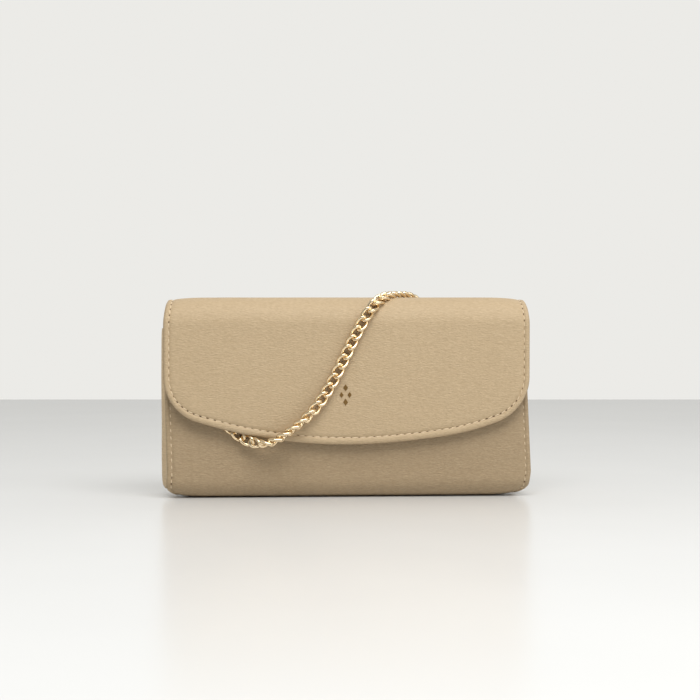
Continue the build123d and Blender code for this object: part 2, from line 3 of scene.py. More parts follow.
import bmesh
import bpy
import json
from mathutils import Matrix, Vector, noise
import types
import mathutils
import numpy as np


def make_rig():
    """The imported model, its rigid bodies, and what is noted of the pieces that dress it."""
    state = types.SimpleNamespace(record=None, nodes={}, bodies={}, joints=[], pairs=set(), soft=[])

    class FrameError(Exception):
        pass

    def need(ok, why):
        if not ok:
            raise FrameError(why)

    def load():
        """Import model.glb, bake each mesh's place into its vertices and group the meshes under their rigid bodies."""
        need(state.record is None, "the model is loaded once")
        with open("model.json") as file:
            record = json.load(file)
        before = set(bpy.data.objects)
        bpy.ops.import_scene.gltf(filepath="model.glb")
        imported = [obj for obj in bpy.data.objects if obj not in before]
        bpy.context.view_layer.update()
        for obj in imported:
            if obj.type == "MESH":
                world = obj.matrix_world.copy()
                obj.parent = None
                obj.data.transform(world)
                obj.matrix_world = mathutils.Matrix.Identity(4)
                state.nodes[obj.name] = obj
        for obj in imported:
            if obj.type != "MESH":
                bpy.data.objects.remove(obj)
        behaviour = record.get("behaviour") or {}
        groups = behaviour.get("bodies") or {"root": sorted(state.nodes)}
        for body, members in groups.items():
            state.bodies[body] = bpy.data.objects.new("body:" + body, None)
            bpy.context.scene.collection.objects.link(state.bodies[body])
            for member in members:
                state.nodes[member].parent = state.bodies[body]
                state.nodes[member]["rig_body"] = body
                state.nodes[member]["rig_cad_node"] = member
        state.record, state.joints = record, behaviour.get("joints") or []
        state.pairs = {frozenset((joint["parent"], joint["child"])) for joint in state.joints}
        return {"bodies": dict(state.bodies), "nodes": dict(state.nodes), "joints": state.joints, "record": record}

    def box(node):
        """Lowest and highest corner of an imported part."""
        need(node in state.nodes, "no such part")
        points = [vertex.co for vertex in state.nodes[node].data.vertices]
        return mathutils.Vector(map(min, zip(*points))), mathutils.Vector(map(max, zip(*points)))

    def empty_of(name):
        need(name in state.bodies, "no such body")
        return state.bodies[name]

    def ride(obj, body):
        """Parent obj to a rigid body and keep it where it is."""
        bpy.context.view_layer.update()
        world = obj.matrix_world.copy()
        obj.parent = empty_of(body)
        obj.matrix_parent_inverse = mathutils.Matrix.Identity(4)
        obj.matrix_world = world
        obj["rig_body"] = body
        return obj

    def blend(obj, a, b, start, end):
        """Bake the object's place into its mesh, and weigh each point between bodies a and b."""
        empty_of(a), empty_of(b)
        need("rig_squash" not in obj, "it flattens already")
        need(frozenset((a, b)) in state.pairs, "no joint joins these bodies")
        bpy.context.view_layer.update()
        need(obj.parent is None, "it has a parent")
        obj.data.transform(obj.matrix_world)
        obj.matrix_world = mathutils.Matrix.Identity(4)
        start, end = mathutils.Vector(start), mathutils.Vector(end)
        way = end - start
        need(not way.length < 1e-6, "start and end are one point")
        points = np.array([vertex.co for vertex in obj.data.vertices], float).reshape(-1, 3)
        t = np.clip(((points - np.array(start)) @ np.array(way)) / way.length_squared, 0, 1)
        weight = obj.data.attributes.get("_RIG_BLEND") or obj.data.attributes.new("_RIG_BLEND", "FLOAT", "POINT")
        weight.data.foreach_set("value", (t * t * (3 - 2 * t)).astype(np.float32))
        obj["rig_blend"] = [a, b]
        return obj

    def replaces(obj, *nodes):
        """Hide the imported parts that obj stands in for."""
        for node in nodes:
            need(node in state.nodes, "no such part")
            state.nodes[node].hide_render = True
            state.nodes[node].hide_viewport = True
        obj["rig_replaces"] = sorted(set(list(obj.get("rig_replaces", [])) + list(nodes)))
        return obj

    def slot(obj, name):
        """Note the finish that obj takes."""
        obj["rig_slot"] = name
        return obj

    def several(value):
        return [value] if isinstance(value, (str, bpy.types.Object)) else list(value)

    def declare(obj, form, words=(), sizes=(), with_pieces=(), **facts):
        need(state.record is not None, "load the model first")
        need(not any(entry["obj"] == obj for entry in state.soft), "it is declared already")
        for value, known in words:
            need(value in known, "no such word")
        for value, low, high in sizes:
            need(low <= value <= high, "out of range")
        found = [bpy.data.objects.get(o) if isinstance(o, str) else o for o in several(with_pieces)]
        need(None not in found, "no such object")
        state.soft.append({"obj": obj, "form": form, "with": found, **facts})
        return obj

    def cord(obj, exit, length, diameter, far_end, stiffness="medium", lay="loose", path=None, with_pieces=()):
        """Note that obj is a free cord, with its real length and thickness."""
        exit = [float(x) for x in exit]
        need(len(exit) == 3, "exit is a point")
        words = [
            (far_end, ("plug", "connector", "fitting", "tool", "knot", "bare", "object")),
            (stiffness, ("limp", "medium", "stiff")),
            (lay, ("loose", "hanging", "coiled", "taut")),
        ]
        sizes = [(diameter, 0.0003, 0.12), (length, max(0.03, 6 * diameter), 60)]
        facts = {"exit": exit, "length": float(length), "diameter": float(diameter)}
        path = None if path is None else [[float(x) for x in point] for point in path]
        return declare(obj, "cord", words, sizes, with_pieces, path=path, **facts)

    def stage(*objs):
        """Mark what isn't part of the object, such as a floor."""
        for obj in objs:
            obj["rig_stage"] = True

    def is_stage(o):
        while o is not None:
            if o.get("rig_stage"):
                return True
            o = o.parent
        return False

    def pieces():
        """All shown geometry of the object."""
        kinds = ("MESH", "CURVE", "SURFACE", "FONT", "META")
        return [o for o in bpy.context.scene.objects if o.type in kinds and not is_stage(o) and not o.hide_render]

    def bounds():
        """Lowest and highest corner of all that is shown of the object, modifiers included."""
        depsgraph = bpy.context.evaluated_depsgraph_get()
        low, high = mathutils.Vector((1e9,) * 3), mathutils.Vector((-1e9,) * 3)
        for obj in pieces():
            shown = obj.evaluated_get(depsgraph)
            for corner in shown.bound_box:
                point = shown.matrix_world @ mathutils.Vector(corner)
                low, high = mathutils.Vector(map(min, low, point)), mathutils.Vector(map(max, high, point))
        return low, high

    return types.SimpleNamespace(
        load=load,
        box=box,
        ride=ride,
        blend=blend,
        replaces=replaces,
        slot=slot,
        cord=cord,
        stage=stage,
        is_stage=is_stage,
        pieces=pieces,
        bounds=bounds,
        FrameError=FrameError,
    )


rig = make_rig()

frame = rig.load()
cad_box = [list(corner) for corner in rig.bounds()]
MM = 0.001


# ------------------------------------------------------------------ camera, light and floor
# The wallet stands on a pale glazed table in a bright room: one wide soft light hangs above
# and in front of it, a weaker one fills from the right, and the walls give the rest.
shell_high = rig.box("outer_shell")[1]
flap_low, flap_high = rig.box("flap_leather")
CAMERA_HIGH = 108 * MM
CAMERA_AWAY = 892 * MM
CAMERA_SIDE = math.radians(3.4)
LENS = 85.0

scene = bpy.context.scene
camera = bpy.data.objects.new("camera", bpy.data.cameras.new("camera"))
scene.collection.objects.link(camera)
scene.camera = camera
scene.view_settings.view_transform = "Standard"
camera.data.lens = LENS
camera.data.clip_start = 0.01
look_at = Vector((1.2 * MM, flap_low.y, 81 * MM))
camera.location = Vector(
    (
        look_at.x - CAMERA_AWAY * math.sin(CAMERA_SIDE),
        look_at.y - CAMERA_AWAY * math.cos(CAMERA_SIDE),
        CAMERA_HIGH,
    )
)
camera.rotation_euler = (look_at - camera.location).to_track_quat("-Z", "Y").to_euler()


def soft_light(name, place, aim, size, watts, colour):
    lamp = bpy.data.objects.new(name, bpy.data.lights.new(name, "AREA"))
    lamp.data.shape = "RECTANGLE"
    lamp.data.size, lamp.data.size_y = size
    lamp.data.energy = watts
    lamp.data.color = colour
    lamp.location = place
    lamp.rotation_euler = (Vector(aim) - Vector(place)).to_track_quat("-Z", "Y").to_euler()
    scene.collection.objects.link(lamp)


soft_light("top_light", (0.1, -0.72, 1.05), (0, 0, 0.06), (1.1, 0.6), 12.8, (1, 0.99, 0.975))
soft_light("side_light", (1.1, -0.7, 0.55), (0, 0, 0.05), (0.6, 0.8), 2.5, (1, 1, 1))


def paint(red, green, blue):
    """A colour as a paint chart gives it, from 0 to 255."""
    parts = [c / 255 for c in (red, green, blue)]
    return (*[p / 12.92 if p < 0.04 else ((p + 0.055) / 1.055) ** 2.4 for p in parts], 1.0)


class Value:
    """A shader socket that sums are written with."""

    def __init__(self, finish, socket):
        self.finish = finish
        self.socket = socket

    def math(self, operation, *others):
        inputs = dict(enumerate((self, *others)))
        return self.finish.node("ShaderNodeMath", {"operation": operation}, inputs)

    def __add__(self, other):
        return self.math("ADD", other)

    def __sub__(self, other):
        return self.math("SUBTRACT", other)

    def __rsub__(self, other):
        return (self * -1) + other

    def __mul__(self, other):
        return self.math("MULTIPLY", other)

    def __pow__(self, other):
        return self.math("POWER", other)

    __radd__ = __add__
    __rmul__ = __mul__


class Finish:
    """A material in the making."""

    def __init__(self, name, tree=None):
        self.material = None if tree else bpy.data.materials.new(name)
        if self.material:
            self.material.use_nodes = True
        self.tree = tree or self.material.node_tree
        self.shader = self.tree.nodes.get("Principled BSDF")

    def node(self, kind, settings, inputs, out=0):
        made = self.tree.nodes.new(kind)
        for key, value in settings.items():
            if key == "stops":
                for place, colour in value[1:-1]:
                    made.color_ramp.elements.new(place)
                for stop, (place, colour) in zip(made.color_ramp.elements, value):
                    stop.position = place
                    stop.color = colour
            else:
                setattr(made, key, value)
        for key, value in inputs.items():
            self.feed(made.inputs[key], value)
        return Value(self, made.outputs[out])

    def feed(self, socket, value):
        if isinstance(value, Value):
            self.tree.links.new(value.socket, socket)
        else:
            socket.default_value = value

    def shade(self, **sockets):
        for key, value in sockets.items():
            self.feed(self.shader.inputs[key.replace("_", " ")], value)
        return self.material

    def objects(self):
        return self.node("ShaderNodeTexCoord", {}, {}, out="Object")

    def stretched(self, where, scale):
        return self.node("ShaderNodeMapping", {}, {"Vector": where, "Scale": scale})

    def noise(self, where, scale, detail=3.0, roughness=0.5):
        inputs = {"Vector": where, "Scale": scale, "Detail": detail, "Roughness": roughness}
        return self.node("ShaderNodeTexNoise", {}, inputs)

    def mix(self, share, one, other):
        return self.node(
            "ShaderNodeMix", {"data_type": "RGBA"}, {0: share, 6: one, 7: other}, out=2
        )

    def bump(self, height, distance, strength=1.0):
        inputs = {"Height": height, "Distance": distance, "Strength": strength}
        return self.node("ShaderNodeBump", {}, inputs)


def room_light():
    """Pale walls, brighter towards the ceiling, with a dimmer side behind the camera."""
    world = bpy.data.worlds.new("room")
    scene.world = world
    world.use_nodes = True
    room = Finish("room", world.node_tree)
    facing = room.node("ShaderNodeTexCoord", {}, {}, out="Generated")
    split = room.node("ShaderNodeSeparateXYZ", {}, {"Vector": facing}, out="Z")
    depth = Value(room, split.socket.node.outputs["Y"])
    rise = (split * 0.5 + 0.5).math("MINIMUM", 1.0)
    dim = (depth * 0.5 + 0.75).math("MAXIMUM", 0.3).math("MINIMUM", 1.0)
    seen = room.node("ShaderNodeLightPath", {}, {}, out="Is Camera Ray")
    light = (rise * 0.35 + 0.65) * dim * 0.82 * (1 - seen) + seen * 0.86
    shade = world.node_tree.nodes["Background"]
    room.feed(shade.inputs["Color"], paint(252, 251, 247))
    room.feed(shade.inputs["Strength"], light)


room_light()


def table_top():
    bm = bmesh.new()
    bmesh.ops.create_grid(bm, x_segments=2, y_segments=2, size=1)
    for v in bm.verts:
        v.co = Vector((v.co.x * 3, -1.5 + v.co.y * 2.38, 0))
    bmesh.ops.rotate(bm, verts=bm.verts, matrix=Matrix.Rotation(-CAMERA_SIDE, 3, "Z"))
    mesh = bpy.data.meshes.new("table_top")
    bm.to_mesh(mesh)
    bm.free()
    top = Finish("table_glaze")
    cloud = top.noise(top.objects(), 3.0, 4.0)
    mesh.materials.append(
        top.shade(
            Base_Color=top.mix(cloud, paint(222, 223, 223), paint(232, 233, 233)),
            Roughness=0.2 + cloud * 0.08,
            IOR=1.4,
        )
    )
    table = bpy.data.objects.new("table_top", mesh)
    scene.collection.objects.link(table)
    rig.stage(table)


table_top()


# ------------------------------------------------------------------ hide: the leather
# Pebbled cow split with a printed grain that creases crosswise, cut in two sheets that meet
# under the base. Its cut edges are turned, so each is a soft roll beside a line of stitches.
def leather(name, light, dark, laid_flat=True):
    hide = Finish(name)
    if laid_flat:
        where = hide.node("ShaderNodeUVMap", {"uv_map": "hide"}, {})
    else:
        where = hide.objects()
    crease = hide.noise(hide.stretched(where, (210, 1100, 400)), 1.0, 2.0, 0.55)
    cells = hide.node(
        "ShaderNodeTexVoronoi",
        {"feature": "SMOOTH_F1"},
        {"Vector": hide.stretched(where, (620, 1400, 1000)), "Scale": 1.0, "Smoothness": 0.4},
    )
    pores = hide.noise(where, 3200.0, 2.0, 0.6)
    cloud = hide.noise(where, 22.0, 3.0, 0.5)
    folds = (crease - 0.5).math("ABSOLUTE") * 2
    height = cells * -0.5 + folds * 0.8 + pores * 0.12
    # Colour: a random cloud of tone, plus painted shade that darkens the grain's pits and crease hollows (and so
    # leaves the ridges lighter)
    tone_and_pit_shade = (cloud * 0.2 + cells * 0.36 + (1 - folds) ** 3 * 0.4).math("MINIMUM", 1.0)
    return hide.shade(
        Base_Color=hide.mix(tone_and_pit_shade, light, dark),
        Roughness=0.47 + cells * 0.12 + cloud * 0.06,
        Normal=hide.bump(height, 0.26 * MM, 1.0),
        Specular_IOR_Level=0.42,
        Sheen_Weight=0.06,
        Sheen_Roughness=0.4,
    )


TAUPE = paint(207, 184, 149), paint(177, 154, 121)
HIDE_THICK = 1.4 * MM


class Fold:
    """A sheet's section: straight runs with a round bend at each corner between them."""

    def __init__(self, points, radii):
        points = [Vector(p) for p in points]
        self.runs = []
        here = points[0]
        for before, corner, after, radius in zip(points, points[1:], points[2:], radii):
            come, leave = (corner - before).normalized(), (after - corner).normalized()
            turn = come.angle_signed(leave)
            cut = radius * math.tan(abs(turn) / 2)
            self.straight(here, corner - come * cut)
            self.runs.append((radius * abs(turn), corner - come * cut, come, -turn, radius))
            here = corner + leave * cut
        self.straight(here, points[-1])
        self.length = sum(run[0] for run in self.runs)

    def straight(self, start, stop):
        self.runs.append(((stop - start).length, start, (stop - start).normalized(), 0.0, 0.0))

    def at(self, distance):
        """The place and heading at a distance along the section."""
        for length, start, heading, turn, radius in self.runs:
            if distance <= length or (length, start) == self.runs[-1][:2]:
                break
            distance -= length
        if not turn:
            return start + heading * distance, heading
        share = turn * distance / length
        side = math.copysign(1, turn)
        square = Vector((-heading.y, heading.x)) * side
        place = start + heading * radius * math.sin(abs(share))
        place += square * radius * (1 - math.cos(share))
        now = Matrix.Rotation(share, 2) @ heading
        return place, now


def towards_rim(share, reach, crowd=0.62):
    """Spaces rows closely by a rim and widely away from it; share 0 is the rim."""
    return reach * (share * (1 - crowd) + crowd * share**3)


LIP_DEEP = 0.95 * MM


def turned_edge(inside, seam):
    """How far the leather stands below its highest face, at a distance inside a rim."""
    if inside < seam:
        across = abs(inside - seam / 2) / (seam / 2)
        return 1.33 * LIP_DEEP * (1 - math.sqrt(1 - 0.94 * min(1.0, across) ** 2))
    return 0.12 * MM + (LIP_DEEP - 0.12 * MM) * math.exp((seam - inside) / (0.9 * MM))


def hide_object(name, bm, thick, materials, bevel=0.45 * MM):
    mesh = bpy.data.meshes.new(name)
    bm.to_mesh(mesh)
    bm.free()
    for material in materials:
        mesh.materials.append(material)
    mesh.shade_smooth()
    piece = bpy.data.objects.new(name, mesh)
    scene.collection.objects.link(piece)
    wall = piece.modifiers.new("wall", "SOLIDIFY")
    wall.thickness = thick
    wall.offset = -1
    rim = piece.modifiers.new("rim", "BEVEL")
    rim.width = bevel
    rim.segments = 3
    rim.limit_method = "ANGLE"
    rim.angle_limit = math.radians(50)
    return piece


HALF = shell_high.x
BASE_SEAM = 2 * MM                     # where the two sheets meet, in y
BACK_ROUND, FRONT_ROUND = 11 * MM, 10.5 * MM
BOTTOM_CORNER = 5.6 * MM
SIDE_SEAM = 2.7 * MM
MOUTH = shell_high.z
END_FROM = 78 * MM                     # towards the ends the sheets lift off the table
CORNER_LIFT, FOLD_DROOP = 2.4 * MM, 11 * MM


def base_pull(z):
    """How far the side edges draw in where the sheet rounds under the bottom corners."""
    drop = max(0.0, BOTTOM_CORNER - z)
    return BOTTOM_CORNER - math.sqrt(BOTTOM_CORNER**2 - drop**2)


def fold_pull(x, z):
    """How far the side edges draw in over the fold, the left a little more."""
    share = min(1.0, max(0.0, (z - FOLD_TOP + 15 * MM) / (15 * MM)))
    return (1.7 if x < 0 else 1.0) * MM * share**1.6


def flap_sag(x, along):
    """The flap's tip hangs a little lower on its right."""
    share = min(1.0, max(0.0, (along - TIP + 60 * MM) / (50 * MM)))
    return 1.2 * MM * math.exp(-(((x - 66 * MM) / (22 * MM)) ** 2)) * share


def hide_point(fold, x, along, depth):
    place, heading = fold.at(along)
    outward = Vector((heading.y, -heading.x)) * fold.outside
    wave = 0.22 * MM * noise.noise(Vector((x * 16, along * 22, fold.outside)))
    y, z = place + outward * (-depth - abs(wave))
    if fold.outside > 0:
        z -= flap_sag(x, along)
    x *= 1 - (base_pull(place.y) + fold_pull(x, z)) / HALF
    z = max(z, 0.2 * MM)
    ends = max(0.0, (abs(x) - END_FROM) / (HALF - END_FROM)) ** 2
    z += ends * (CORNER_LIFT * max(0.0, 1 - z / (9 * MM)) - FOLD_DROOP * max(0.0, z - MOUTH) / MOUTH)
    return Vector((x, y, z)), Vector((0, outward.x, outward.y))


# ------------------------------------------------------------------ back and flap, one sheet
# The back, the fold over the mouth and the flap are a single cut of leather. The flap's tip is
# a long shallow curve with rounded corners.
ARC, CORNER = 272 * MM, 25 * MM
FOLD_ROUND = 14.7 * MM
FOLD_TOP = flap_high.z - 0.5 * MM
TIP_DROP = 0.9 * MM                    # how far the soft tip hangs below its pattern

back_fold = Fold(
    [
        (BASE_SEAM, 0),
        (shell_high.y, 0),
        (shell_high.y, FOLD_TOP),
        (flap_low.y, FOLD_TOP),
        (flap_low.y, 0),
    ],
    [BACK_ROUND, FOLD_ROUND, FOLD_ROUND],
)
back_fold.outside = 1
TIP = back_fold.length - flap_low.z + TIP_DROP  # along the sheet, to the flap's lowest point
LEAN = math.asin((HALF - CORNER) / (ARC - CORNER))
ARC_LONG, CORNER_LONG = ARC * LEAN, CORNER * (math.pi / 2 - LEAN)


def rim(reach):
    """The flat outline at a distance from the tip's middle, and which way it faces."""
    side, reach = math.copysign(1, reach), abs(reach)
    corner_at = Vector((HALF - CORNER, TIP - ARC + (ARC - CORNER) * math.cos(LEAN)))
    if reach < ARC_LONG:
        facing = reach / ARC
        place = Vector((0, TIP - ARC)) + ARC * Vector((math.sin(facing), math.cos(facing)))
    elif reach < ARC_LONG + CORNER_LONG:
        facing = LEAN + (reach - ARC_LONG) / CORNER
        place = corner_at + CORNER * Vector((math.sin(facing), math.cos(facing)))
    else:
        facing = math.pi / 2
        place = Vector((HALF, corner_at.y - (reach - ARC_LONG - CORNER_LONG)))
    return Vector((side * place.x, place.y)), Vector((side * math.sin(facing), math.cos(facing)))


def inside_rim(x, along):
    """Distance from a flat place to the nearest edge of the sheet."""
    corner = Vector((HALF - CORNER, TIP - ARC + (ARC - CORNER) * math.cos(LEAN)))
    from_corner = Vector((abs(x), along)) - corner
    facing = math.atan2(from_corner.x, from_corner.y)
    if from_corner.x > 0 and LEAN < facing < math.pi / 2:
        return CORNER - from_corner.length
    return min(HALF - abs(x), ARC - (Vector((x, along)) - Vector((0, TIP - ARC))).length)


RIM_TURN = ARC_LONG + CORNER_LONG / 2   # where the sheet's side rows become its tip rows
RIM_LONG = ARC_LONG + CORNER_LONG + rim(ARC_LONG + CORNER_LONG)[0].y


def flap_place(a, b, shrink=0.0, start=0.0):
    """Flat place at a share across (-1 to 1) and a share down to the tip (0 to 1)."""
    side_long = RIM_LONG - RIM_TURN - start
    down = side_long - towards_rim(1 - b, side_long)
    across = math.copysign(HALF - towards_rim(1 - abs(a), HALF), a)
    share = across / HALF / 2 + 0.5

    def edge(reach):
        place, facing = rim(reach)
        return place - facing * shrink

    left, right = edge(-(RIM_LONG - start - down)), edge(RIM_LONG - start - down)
    tip = edge(RIM_TURN * (2 * share - 1))
    top_left, top_right = edge(-(RIM_LONG - start)), edge(RIM_LONG - start)
    low_left, low_right = edge(-RIM_TURN), edge(RIM_TURN)
    top = top_left.lerp(top_right, share)
    t = down / side_long
    sides = left.lerp(right, share) + top.lerp(tip, t)
    return sides - top.lerp(low_left.lerp(low_right, share), t)


def flap_sheet(columns, rows, shrink, start, depth_at):
    bm = bmesh.new()
    bmesh.ops.create_grid(bm, x_segments=columns, y_segments=rows, size=1)
    flat = bm.loops.layers.uv.new("hide")
    places = {}
    for v in bm.verts:
        places[v] = flap_place(v.co.x, (1 - v.co.y) / 2, shrink, start)
    for face in bm.faces:
        for loop in face.loops:
            loop[flat].uv = places[loop.vert]
    for v, (x, along) in places.items():
        v.co = hide_point(back_fold, x, along, depth_at(x, along))[0]
    return bm


def flap_seam(x, along):
    """The stitches run nearer the edge on the sides than along the tip."""
    return SIDE_SEAM + 0.9 * MM * min(1.0, max(0.0, (along - TIP + 24 * MM) / (12 * MM)))


taupe = leather("taupe_leather", *TAUPE)
back_hide = hide_object(
    "back_and_flap_leather",
    flap_sheet(
        140, 240, 0.0, 0.0, lambda x, q: turned_edge(inside_rim(x, q), flap_seam(x, q))
    ),
    HIDE_THICK,
    [taupe],
)
# The fold bends where it meets the back, over the first few millimetres of its roll.
BEND_FROM = (0, shell_high.y - 0.3 * MM, MOUTH + 0.1 * MM)
BEND_TO = (0, shell_high.y - 4.6 * MM, MOUTH + 1.45 * MM)
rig.blend(back_hide, "root", "flap", BEND_FROM, BEND_TO)
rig.replaces(back_hide, "outer_shell", "flap_leather", "flap_interlining")
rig.slot(back_hide, "body_leather")


# ------------------------------------------------------------------ front, one sheet
# The front's leather rises from under the base to the mouth, with the same turned edges, and
# bellies out a little where the wallet is full. It lies flat round the
# snap and where the chain is on it.
panel_low, panel_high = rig.box("front_panel")
BELLY, SWAY = 1.9 * MM, 1.5 * MM

socket_low, socket_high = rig.box("snap_socket")
SNAP_HIGH = (socket_low.z + socket_high.z) / 2
front_fold = Fold(
    [(BASE_SEAM, 0), (panel_low.y, 0), (panel_low.y, panel_high.z)], [FRONT_ROUND]
)
front_fold.outside = -1


def front_place(a, b):
    across = math.copysign(HALF - towards_rim(1 - abs(a), HALF), a)
    return Vector((across, front_fold.length - towards_rim(1 - b, front_fold.length, 0.5)))


def front_depth(x, along):
    z = panel_high.z - (front_fold.length - along)
    swell = math.exp(-(((z - 36 * MM) / (18 * MM)) ** 2)) * (1 - (x / HALF) ** 4)
    swell *= min(1.0, max(0.1, (x + 62 * MM) / (24 * MM)))
    from_snap = math.hypot(x, z - SNAP_HIGH)
    swell *= min(1.0, max(0.0, (from_snap - 9 * MM) / (9 * MM)))
    rise = turned_edge(min(HALF - abs(x), front_fold.length - along), SIDE_SEAM)
    return rise - BELLY * swell


def front_point(x, along, depth):
    """The front stands a little to the right, most of all low down on its right side."""
    place, outward = hide_point(front_fold, x, along, depth)
    rise = min(1.0, place.z / (14 * MM)) * max(0.0, 1 - place.z / (62 * MM))
    place.x += (SWAY + 1.4 * MM * max(0.0, x / HALF) ** 3) * rise
    return place, outward


def front_sheet(columns, rows):
    bm = bmesh.new()
    bmesh.ops.create_grid(bm, x_segments=columns, y_segments=rows, size=1)
    flat = bm.loops.layers.uv.new("hide")
    places = {v: front_place(v.co.x, (v.co.y + 1) / 2) for v in bm.verts}
    for face in bm.faces:
        for loop in face.loops:
            loop[flat].uv = places[loop.vert]
    for v, (x, along) in places.items():
        v.co = front_point(x, along, front_depth(x, along))[0]
    return bm


# The front takes a darker copy of the taupe leather: painted shade for the panel under the flap's overhang
front_taupe_painted_shade = leather("front_leather_painted_shade", paint(186, 164, 132), paint(154, 132, 102))
front_hide = hide_object("front_leather", front_sheet(150, 90), HIDE_THICK, [front_taupe_painted_shade])
FOOT_FROM, FOOT_TO = (0, -6 * MM, 0), (0, -11 * MM, 0)
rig.blend(front_hide, "root", "front", FOOT_FROM, FOOT_TO)
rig.replaces(front_hide, "front_panel")
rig.slot(front_hide, "body_leather")


# ------------------------------------------------------------------ flap lining
# A thinner leather under the flap, whose raw edge shows as a second line beneath the flap's
# rolled edge.
LINING_DEEP = 1.7 * MM
mouth_along = BACK_ROUND * (math.pi / 2 - 2) + shell_high.y - BASE_SEAM + MOUTH
lining_hide = hide_object(
    "flap_lining_leather",
    flap_sheet(90, 90, -0.3 * MM, mouth_along, lambda x, q: LINING_DEEP),
    0.8 * MM,
    [leather("lining_leather", paint(186, 161, 128), paint(170, 145, 113))],
    0.25 * MM,
)
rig.blend(lining_hide, "root", "flap", BEND_FROM, BEND_TO)
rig.replaces(lining_hide, "flap_lining")
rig.slot(lining_hide, "lining")


# ------------------------------------------------------------------ stitching
# Bonded polyester thread, one lockstitch after another, each a short bead that dips into a
# needle hole at both ends.
THREAD = 0.3 * MM


def thread_finish():
    thread = Finish("thread")
    where = thread.objects()
    ply = thread.noise(where, 2600.0, 2.0)
    return thread.shade(
        Base_Color=thread.mix(ply, paint(216, 195, 162), paint(234, 216, 186)),
        Roughness=0.55 + ply * 0.15,
        Normal=thread.bump(ply, 0.08 * MM, 0.6),
        Sheen_Weight=0.15,
    )


# The needle holes are small dark brown beads: painted shade for the hollow of each hole, mottled by noise
def hole_shade_finish():
    hole = Finish("needle_hole_painted_shade")
    shade_mottle = hole.noise(hole.objects(), 900.0)
    return hole.shade(
        Base_Color=hole.mix(shade_mottle, paint(84, 64, 44), paint(112, 90, 66)), Roughness=0.85
    )


def add_copy(bm, template, matrix, scratch=bpy.data.meshes.new("scratch")):
    """Adds a copy of a small shape, moved by a matrix."""
    copy = template.copy()
    bmesh.ops.transform(copy, matrix=matrix, verts=copy.verts)
    copy.to_mesh(scratch)
    copy.free()
    bm.from_mesh(scratch)


def bead(long, wide, deep, slot):
    bm = bmesh.new()
    bmesh.ops.create_uvsphere(bm, u_segments=8, v_segments=6, radius=1)
    bmesh.ops.scale(bm, vec=(wide, deep, long), verts=bm.verts)
    bmesh.ops.rotate(bm, verts=bm.verts, matrix=Matrix.Rotation(math.pi / 2, 3, "Y"))
    for face in bm.faces:
        face.smooth = True
        face.material_index = slot
    return bm


def frame_at(place, along, outward, turn=0.0):
    """A matrix with X along a seam and Y outwards, turned a little on the leather."""
    along = (along - outward * along.dot(outward)).normalized()
    axes = Matrix((along, outward, along.cross(outward))).transposed()
    return Matrix.Translation(place) @ (axes @ Matrix.Rotation(turn, 3, "Y")).to_4x4()


def seam(name, places, pitch, body, materials):
    """Stitches along places, which gives (place, along, outward) at each distance."""
    thread = bead(pitch * 0.32, THREAD, THREAD, 0)
    # Each needle hole gets a dark bead of painted shade
    hole = bead(pitch * 0.15, THREAD * 1.6, THREAD * 0.7, 1)
    bm = bmesh.new()
    for place, along, outward in places:
        sit = place + outward * THREAD * 0.5
        add_copy(bm, thread, frame_at(sit, along, outward, math.radians(7)))
        gap = place + along.normalized() * pitch / 2 + outward * 0.05 * MM
        add_copy(bm, hole, frame_at(gap, along, outward))
    mesh = bpy.data.meshes.new(name)
    bm.to_mesh(mesh)
    bm.free()
    for material in materials:
        mesh.materials.append(material)
    piece = bpy.data.objects.new(name, mesh)
    scene.collection.objects.link(piece)
    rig.blend(piece, *body)
    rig.slot(piece, "body_leather")
    return piece


def flap_stitches(pitch):
    count = int((RIM_LONG - 14 * MM) / pitch)
    for k in range(-count, count + 1):
        spots = []
        for reach in (k * pitch, k * pitch + 0.4 * MM):
            place, facing = rim(reach)
            x, along = place - facing * flap_seam(*place)
            depth = turned_edge(inside_rim(x, along), flap_seam(x, along))
            spots.append(hide_point(back_fold, x, along, depth))
        yield spots[0][0], spots[1][0] - spots[0][0], spots[0][1]


def front_stitches(pitch):
    across = HALF - SIDE_SEAM
    low, high = 16 * MM, front_fold.length - SIDE_SEAM
    spots = [(side * across, low + k * pitch) for side in (-1, 1)
             for k in range(int((high - low) / pitch))]
    tops = int(2 * across / pitch)
    spots += [(-across + (k + 0.5) * pitch, high) for k in range(tops)]
    for x, along in spots:
        step = (0.4 * MM, 0) if along == high else (0, 0.4 * MM)
        depth = front_depth(x, along)
        place, outward = front_point(x, along, depth)
        there = front_point(x + step[0], along + step[1], depth)[0]
        yield place, there - place, outward


stitch_finishes = [thread_finish(), hole_shade_finish()]
seam("back_and_flap_stitches", flap_stitches(4.2 * MM), 4.2 * MM,
     ("root", "flap", BEND_FROM, BEND_TO), stitch_finishes)
seam("front_stitches", front_stitches(4.0 * MM), 4.0 * MM,
     ("root", "front", FOOT_FROM, FOOT_TO), stitch_finishes)

# ------------------------------------------------------------------ gussets
# Each side is closed by a strip folded into a W, whose middle fold stands out past the shell.
# The strip opens like a bellows as the front comes forwards.
gusset_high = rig.box("right_gusset")[1]
RIDGE, VALLEY, TUCK = 101.4 * MM, 92.3 * MM, 98 * MM
# The gussets take a lighter copy of the taupe leather: painted light that lifts the strips where they sit in the shade
# beside the flap and panel edges
gusset_taupe_painted_light = leather("gusset_leather", paint(222, 199, 164), paint(194, 171, 137))


